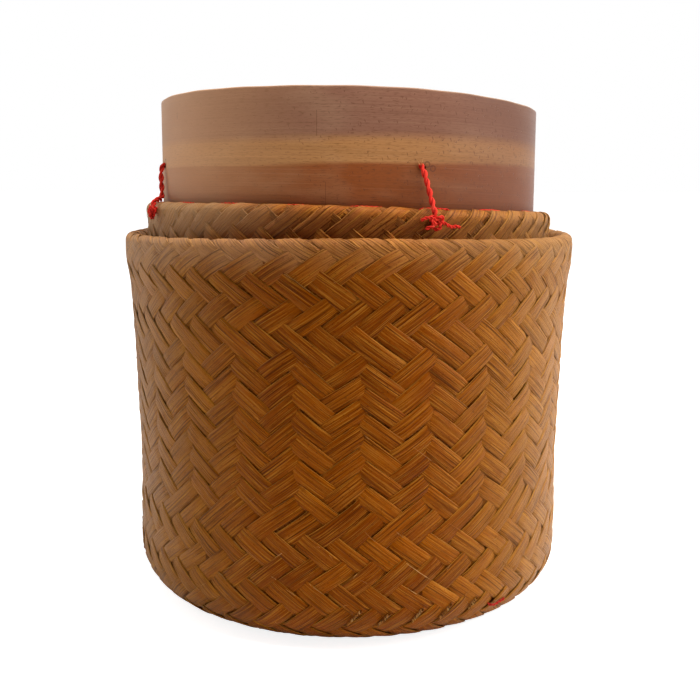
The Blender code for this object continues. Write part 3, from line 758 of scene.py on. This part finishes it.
def bendBand():
    # the band is rolled up: its outer face keeps one radius for a full turn, then dives under its own start by the
    # lap; both ends are scarfed thin. Its ring is an oblong with rounded corners
    lap, dive = math.radians(band["lapDegrees"]), math.radians(band["diveDegrees"])
    turned = np.linspace(0, turn + lap, 300)
    under = np.maximum(0, (turned - turn) / lap)
    full, taper = band["thickness"], band["thickness"] - band["tip"]
    thick = band["tip"] + taper * np.minimum(1, turned / lap) - taper * under
    inside = smoothStep((turned - turn + dive) / dive)
    radius = band["radius"] - (band["tip"] + 0.1) * inside - taper * under
    corner = np.radians(np.linspace(0, 90, 5))
    c, tall = band["corner"], band["height"]
    side = np.linspace(c, tall - c, 9)
    roundIn, roundOut = c - c * np.cos(corner), c * np.sin(corner)
    inX = np.concatenate([0 * side, roundIn[1:], full - c + roundOut[:-1], full + 0 * side,
                          full - roundIn[1:], c - roundOut[:-1]])
    inZ = np.concatenate([side, tall - c + roundOut[1:], tall - roundIn[:-1], side[::-1],
                          c - roundOut[1:], roundIn[:-1]])
    edge = np.clip(1 - np.minimum(inZ, tall - inZ) / band["wornEdge"], 0, 1)
    r = radius[:, None] - inX * (thick[:, None] / full)
    a = (math.radians(band["startDegrees"]) - turned)[:, None]
    uneven = -band["planedOff"] * np.sin(a) ** 2 + ripple(band["uneven"], a, 0, 1)
    z = band["foot"] + inZ + uneven * smoothStep((inZ / tall - 0.5) / 0.5)
    grid = np.stack([r * np.sin(a), -r * np.cos(a), z + 0 * a], -1)
    uv = np.stack(np.broadcast_arrays(a * band["radius"] + 0 * inZ, inZ + 0 * a), -1)
    bundle = Bundle()
    bundle.addTube(grid[:, ::-1], uv[:, ::-1], {"worn": (edge + 0 * a)[:, ::-1]})
    ring = bundle.build("bentwood_band", "inner_basket", ["bentwood_ring"], bentWood, 35)
    holes = [(d, band["foot"] + band["tieHoleUp"], band["tieHoleRadius"]) for d in band["tieDegrees"]]
    holes += [(band["laceDegrees"], up, band["laceHoleRadius"]) for up in laceUp]
    cutHoles(ring, holes)
    print("band bent and drilled")


laceUp = band["foot"] + (np.arange(band["laceHoles"]) + 1) * band["laceStep"]  # mm up
bendBand()

threadLook = {
    "red": "#D8281A", "shade": "#8E0F0A", "light": "#F2644A", "roughness": 0.75, "fuzz": 0.35,
    "hairMm": 0.12,  # spacing of the hairs of cotton, drawn a little coarse so that they show
}


def threadMaterial(name, look):
    # two-ply mercerised cotton: bright red, its fibres wound across the thread, a soft fuzz and no hard gloss
    made, add, uv, patterns = startMaterial(name, {
        "Roughness": look["roughness"], "Specular IOR Level": 0.15, "Sheen Weight": look["fuzz"],
        "Sheen Roughness": 0.45, "Sheen Tint": linearColour(look["light"]),
    }, {}, 0.5)
    wound = add("Mapping", {"Vector": uv, "Rotation": (0, 0, 0.7), "Scale": (1 / 1.1, 1 / look["hairMm"], 1)})
    patterns["hairs"] = add("TexNoise", {"Vector": wound, "Scale": 1.0, "Detail": 2.0}, noise_dimensions="2D")
    place = add("TexCoord", output="Object")
    patterns["patches"] = add("TexNoise", {"Vector": place, "Scale": 380.0, "Detail": 1.0})
    patterns["plyShade"] = add("Attribute", output=2, attribute_name="plyShade")
    base = layerColours(add, linearColour(look["red"]), patterns, [  # pattern, from, to, strength, colour
        ("hairs", 0.45, 0.2, 0.55, "shade"),
        ("hairs", 0.55, 0.85, 0.45, "light"),
        ("patches", 0.55, 0.75, 0.25, "light"),
        # painted shade where the plies press together
        ("plyShade", 0.4, 1.0, 0.6, "shade"),
    ], look)
    bump = add("Bump", {"Strength": 0.8, "Distance": 0.05 * mm, "Height": patterns["hairs"]})
    return finishMaterial(made, {"Base Color": base, "Normal": bump})


redCotton = threadMaterial("red two-ply cotton", threadLook)
# painted shade: a darker copy of the red cotton, with less sheen, for the base stitches that sit in shade low on
# the wall
shadedCotton = threadMaterial("dulled red cotton", {
    **threadLook, "red": "#A61C10", "light": "#BE3C2C", "fuzz": 0.12})

thread = {
    "pitch": 3.0,  # mm for one turn of the plies
    "plyOut": 0.46, "plyRadius": 0.56,  # of the thread's radius: a ply's distance from the middle, and its radius
    "sides": 7,
}


def addThread(bundle, points, side, radius, loop=False, step=0.3, seed=0, pitch=thread["pitch"]):
    # two plies wound round the points' line: each ply is a round tube whose middle circles the line once a pitch.
    # side is a direction that the line never follows, one for all points or one for each
    path, where, length = resample(points, step, loop)
    t = unit(np.roll(path, -1, axis=0) - np.roll(path, 1, axis=0) if loop else np.gradient(path, axis=0))
    reference = side(path) if callable(side) else np.broadcast_to(np.asarray(side, float), path.shape)
    a = unit(reference - (reference * t).sum(1)[:, None] * t)
    b = np.cross(t, a)
    turns = max(1, round(length / pitch))
    spin = np.arange(thread["sides"]) * turn / thread["sides"]
    plump = radius * (1 + 0.06 * waves(where, seed + 5, 9.0))
    if not loop:
        plump = plump * np.minimum(1, 0.35 + 1.2 * (length - where) / radius / 2)  # it tapers to its end
    plump = plump[:, None, None]
    ring = np.cos(spin)[None, :, None] * a[:, None] + np.sin(spin)[None, :, None] * b[:, None]
    for ply in (0, 1):
        phase = (where / length * turns * turn + ply * math.pi)[:, None]
        middle = (np.cos(phase) * a + np.sin(phase) * b)[:, None]
        grid = path[:, None] + middle * plump * thread["plyOut"] + ring * plump * thread["plyRadius"]
        # painted shade: 1 on the side of each ply that faces the other, where the two press together
        plyShade = 0.5 - 0.5 * (ring * middle).sum(-1)
        uv = np.stack(np.broadcast_arrays(where[:, None], spin * radius * thread["plyRadius"]), -1)
        bundle.addTube(grid, uv, {"plyShade": plyShade}, loop)


def addHairs(bundle, points, spread, count, seed):
    # stray hairs of cotton: short thin curved tubes that start on the points
    g = np.random.default_rng(seed)
    step = np.linspace(0, 1, 5)[:, None]
    ring = np.array([[1, 0, 0.3], [-0.5, 0.87, 0], [-0.5, -0.87, -0.3]]) * 0.045
    for k in range(count):
        start = points[int(g.integers(len(points)))] + g.normal(0, spread, 3)
        heading = unit(g.normal(0, 1, 3))
        bend = g.normal(0, 0.5, 3)
        line = start + heading * step * g.uniform(0.7, 1.8) + bend * step ** 2
        bundle.addTube(line[:, None] + ring * (1.1 - step[:, None]), np.zeros((1, 1, 2)), {"plyShade": 0.0})


tie = {  # lines as (across, outward, up) in mm: a loop through a hole in the band and the end's edge, and a knot
    "route": [(0.6, 74.75, 136.6), (0.4, 74.75, 139.2), (0.2, 73.85, 141.1), (-0.8, 68.1, 152.3),
              (-0.8, 63.05, 152.3), (-0.6, 63.05, 139.6), (0.0, 63.05, 132.95), (0.0, 64.55, 131.8),
              (0.2, 70.0, 132.2), (0.5, 72.4, 134.2)],
    "radius": 0.92, "pitch": 6.5,
    "knot": (0.8, 75.5, 136.0), "knotSize": (0.74, 0.46, 0.72), "knotThread": 0.66,
    "tails": [[(1.2, 75.8, 136.2), (3.2, 76.3, 135.6), (5.4, 76.2, 134.6), (7.4, 76.0, 134.9), (8.4, 75.9, 134.2)],
              [(0.2, 75.8, 136.6), (-1.4, 76.1, 137.2), (-3.2, 75.9, 137.0), (-4.6, 75.8, 136.2)],
              [(0.4, 75.8, 135.6), (-0.8, 76.2, 134.8), (-2.0, 76.1, 134.3), (-3.2, 75.9, 133.8)]],
    "tailRadius": 0.58, "tailSpread": 0.35,
    "moved": (0, 0, 0),
}
leftTie = {  # the left one hangs down the band and runs over the fold to its knot
    **tie,
    "route": [(12.0, 73.6, 138.6), (11.0, 73.0, 140.0), (8.2, 71.4, 140.9), (4.4, 69.6, 141.4), (1.8, 68.8, 143.2),
              (-0.8, 68.1, 152.3), (-0.8, 63.05, 152.3), (-0.6, 63.05, 139.6), (0.0, 63.05, 132.95),
              (1.0, 64.55, 131.8), (9.0, 68.4, 132.2), (11.6, 70.6, 135.2)],
    "tails": [[(0.6, 75.6, 136.4), (2.0, 75.6, 136.2), (3.4, 75.4, 136.6)],
              [(-0.4, 75.6, 136.6), (-1.8, 75.5, 136.2), (-3.0, 75.3, 136.4)]],
    "moved": (12.0, -1.3, 0.9),  # mm that its knot and tails sit aside, out and up
}


def tieThread(part, degrees, look, seed):
    # the loop is a smooth line through the route, softened at its corners; the knot is a trefoil, whose across, out
    # and up are sin t + 2 sin 2t, sin 3t and cos t - 2 cos 2t. All but the front tie's tails are spread at random
    g = np.random.default_rng(seed)
    bundle = Bundle()
    front = part == "front"
    route, moved = np.array(look["route"]), np.array(look["moved"])
    across, outward = placeAt(degrees, [(1, 0, 0), (0, 1, 0)])
    loopLine = placeAt(degrees, soften(catmullRom(np.vstack([route, route[:1]]), 6)[:-1]))
    addThread(bundle, loopLine, across, look["radius"], True, 0.3, seed, look["pitch"])
    t = np.linspace(0, turn, 60, endpoint=False) + g.uniform(0, turn)
    w, d, u = look["knotSize"]
    trefoil = np.column_stack([w * (np.sin(t) + 2 * np.sin(2 * t)), -1.4 * d * np.sin(3 * t),
                               u * (np.cos(t) - 2 * np.cos(2 * t))])
    knotLine = placeAt(degrees, trefoil + look["knot"] + moved)
    addThread(bundle, knotLine, outward, look["knotThread"], True, 0.22, seed + 1)
    mirror = np.array([1.0 if g.uniform() < 0.5 or front else -1.0, 1, 1])
    tails = []
    for k, tail in enumerate(look["tails"]):
        spread = g.normal(0, 0.0 if front else look["tailSpread"], (len(tail), 3)) * np.array([1, 0.3, 1])
        tails.append(catmullRom(placeAt(degrees, np.array(tail) * mirror + spread + moved), 6))
        addThread(bundle, tails[-1], outward, look["tailRadius"], False, 0.25, seed + 2 + k)
    addHairs(bundle, np.vstack([knotLine] + tails), 0.35, 46, seed + 9)
    addHairs(bundle, loopLine[:20], 0.3, 12, seed + 10)
    bundle.build(f"tie_{part}", "inner_basket", [f"ring_tie_{part}"], redCotton, 180)


for k, (part, degrees) in enumerate(zip(("front", "right", "back", "left"), band["tieDegrees"])):
    tieThread(part, degrees, leftTie if part == "left" else tie, 40 + 11 * k)

tuft = {"fibres": 16, "place": (-0.9, 67.2, 152.7), "long": (0.9, 2.1), "curl": 0.35, "thick": (0.07, 0.14)}
bundle = Bundle()  # a pale tuft of torn fibres in the front hole
g = np.random.default_rng(61)
step = np.linspace(0, 1, 6)[:, None]
for k in range(tuft["fibres"]):
    heading = np.array([g.uniform(-0.9, 0.2), g.uniform(0.3, 1.0), g.uniform(0.1, 1.0)])
    line = heading * step * g.uniform(*tuft["long"]) + g.normal(0, tuft["curl"], 3) * step ** 2
    line = placeAt(band["tieDegrees"][0], line + tuft["place"])
    addFibre(bundle, line, g.uniform(*tuft["thick"]), k, g.uniform(0.8, 1.0))
bundle.build("front_hole_tuft", "inner_basket", [], smokedBamboo)

lace = {"inside": 62.2, "outside": 68.0, "apart": 0.22, "radius": 0.42}  # mm
bundle = Bundle()  # the lap's lacing: a running stitch up through the holes and back down through the same ones
laceLine = []
for leg, order in ((1, range(len(laceUp))), (-1, range(len(laceUp) - 1, -1, -1))):
    for k in order:
        outFirst = (k % 2 == 0) == (leg > 0)
        for end in (("inside", "outside") if outFirst else ("outside", "inside")):
            laceLine.append((lace["apart"] * leg, lace[end], laceUp[k]))
laceLine = soften(resample(placeAt(band["laceDegrees"], laceLine), 0.9, True)[0])
addThread(bundle, laceLine, placeAt(band["laceDegrees"], [(1, 0, 0)])[0], lace["radius"], True, 0.3, 71)
bundle.build("band_lacing", "inner_basket", ["ring_lacing"], redCotton, 180)

endStitch = {"ring": 69.3, "under": 136.35, "over": 3.40, "bulge": 0.20, "every": 18.0, "radius": 0.42}
bundle = Bundle()  # the closed end's running stitch: a round line whose height is a soft square wave
around = np.linspace(0, turn, 1800, endpoint=False)
beat = (np.degrees(around) / endStitch["every"]) % 1
rise = smoothStep((0.25 - np.abs((beat + 0.25) % 1 - 0.5)) / 0.07 + 0.5)
bulge = endStitch["bulge"] * np.sin(np.pi * np.clip(beat / 0.5, 0, 1)) * rise
height = endStitch["under"] + endStitch["over"] * rise + bulge
roundLine = np.column_stack([endStitch["ring"] * np.sin(around), -endStitch["ring"] * np.cos(around), height])
addThread(bundle, roundLine, lambda p: p * [1, 1, 0], endStitch["radius"], True, 0.38, 72)
bundle.build("end_stitches", "inner_basket", ["inner_end_stitching"], redCotton, 180)

baseStitch = {"degrees": (40, 160, 276.5), "reach": 3.5, "outside": (77.75, 9.6), "inside": (73.56, 11.45),
              "proud": 0.25, "slant": 0.3, "radius": 0.45}
bundle = Bundle()  # three stitches that hold the base: each a flat closed loop through the corner
reach, outside, inside = baseStitch["reach"], baseStitch["outside"], baseStitch["inside"]
crown = outside[0] + baseStitch["proud"]
line = [(-reach, *inside), (-reach, *outside), (-reach * 0.4, crown, outside[1] - baseStitch["slant"]),
        (reach * 0.4, crown, outside[1] + baseStitch["slant"]), (reach, *outside), (reach, *inside)]
for k, degrees in enumerate(baseStitch["degrees"]):
    stitch = soften(resample(placeAt(degrees, line), 0.6, True)[0])
    addThread(bundle, stitch, placeAt(degrees, [(0, 0.4, 0.92)])[0], baseStitch["radius"], True, 0.3, 80 + k)
    addHairs(bundle, placeAt(degrees, [(-2, 78.2, 9.6), (2, 78.2, 9.6)]), 0.3, 8, 90 + k)
bundle.build("base_stitches", "outer_basket", ["outer_base_stitching"], shadedCotton, 180)
print("threads wound")

view = {"lens": 51.74, "sensor": 36, "place": (0.00067, -0.3746, 0.1519), "down": 10.26, "roll": 0.19}
camera = addObject("camera", bpy.data.cameras.new("camera"))
camera.data.lens, camera.data.sensor_width, camera.data.clip_start = view["lens"], view["sensor"], 0.01
aim = Matrix.Rotation(math.radians(90 - view["down"]), 4, "X") @ Matrix.Rotation(math.radians(view["roll"]), 4, "Z")
camera.matrix_world = Matrix.Translation(view["place"]) @ aim
bpy.context.scene.camera = camera

stage = {"floor": "#DEDDDA", "floorGlow": 0.05, "floorSeen": 0.85, "roomFront": 0.01, "roomBehind": 0.55}
floorMesh = bpy.data.meshes.new("floor")
floorMesh.from_pydata([(-6, -6, 0), (6, -6, 0), (6, 6, 0), (-6, 6, 0)], [], [(0, 1, 2, 3)])
floorPaint = bpy.data.materials.new("white paper")  # a lit sheet of white paper: matt, and bright of itself
floorPaint.use_nodes = True
paint = partial(addNode, floorPaint.node_tree)
floorGlow = paint("Mix", {
    0: paint("LightPath", output="Is Camera Ray"), 2: stage["floorGlow"], 3: stage["floorSeen"]}, data_type="FLOAT")
for key, value in (("Base Color", linearColour(stage["floor"])), ("Roughness", 0.9), ("Specular IOR Level", 0.0),
                   ("Emission Color", (1, 1, 1, 1))):
    floorPaint.node_tree.nodes["Principled BSDF"].inputs[key].default_value = value
finishMaterial(floorPaint, {"Emission Strength": floorGlow})
floorMesh.materials.append(floorPaint)
addObject("floor", floorMesh)

softboxes = {  # place, aim, width, height in metres, watts
    "right softbox": ((0.75, -0.10, 0.50), (0, 0, 0.08), 0.6, 0.6, 5.3),
    "left softbox": ((-0.75, 0.20, 0.40), (0, 0, 0.08), 0.7, 0.7, 1.6),
    "top softbox": ((0.16, -0.16, 0.90), (0, 0, 0.12), 0.35, 0.35, 8.5),
    "front fill": ((0.30, -0.80, 0.50), (0, 0, 0.08), 0.3, 0.3, 0.30),
}
for name, (place, target, width, height, power) in softboxes.items():
    data = bpy.data.lights.new(name, "AREA")
    data.shape, data.size, data.size_y, data.energy = "RECTANGLE", width, height, power
    light = addObject(name, data)
    light.location = place
    light.rotation_euler = (Vector(target) - Vector(place)).to_track_quat("-Z", "Y").to_euler()

world = bpy.data.worlds.new("white room")  # white behind and beside the object, darker on the front's side
bpy.context.scene.world = world
world.use_nodes = True
room = partial(addNode, world.node_tree)
direction = room("TexCoord", output="Generated")
alongY = room("SeparateXYZ", {0: direction}, "Y")
glow = room("MapRange", {
    "Value": alongY, "From Min": -0.8, "From Max": 0.15,
    "To Min": stage["roomFront"], "To Max": stage["roomBehind"]}, interpolation_type="SMOOTHSTEP")
strength = room("Mix", {0: room("LightPath", output="Is Camera Ray"), 2: glow, 3: 1.0}, data_type="FLOAT")
backdrop = world.node_tree.nodes["Background"]
world.node_tree.links.new(strength, backdrop.inputs["Strength"])
backdrop.inputs["Color"].default_value = (1, 1, 1, 1)
bpy.context.scene.view_settings.view_transform = "Standard"
print("camera and lights set")
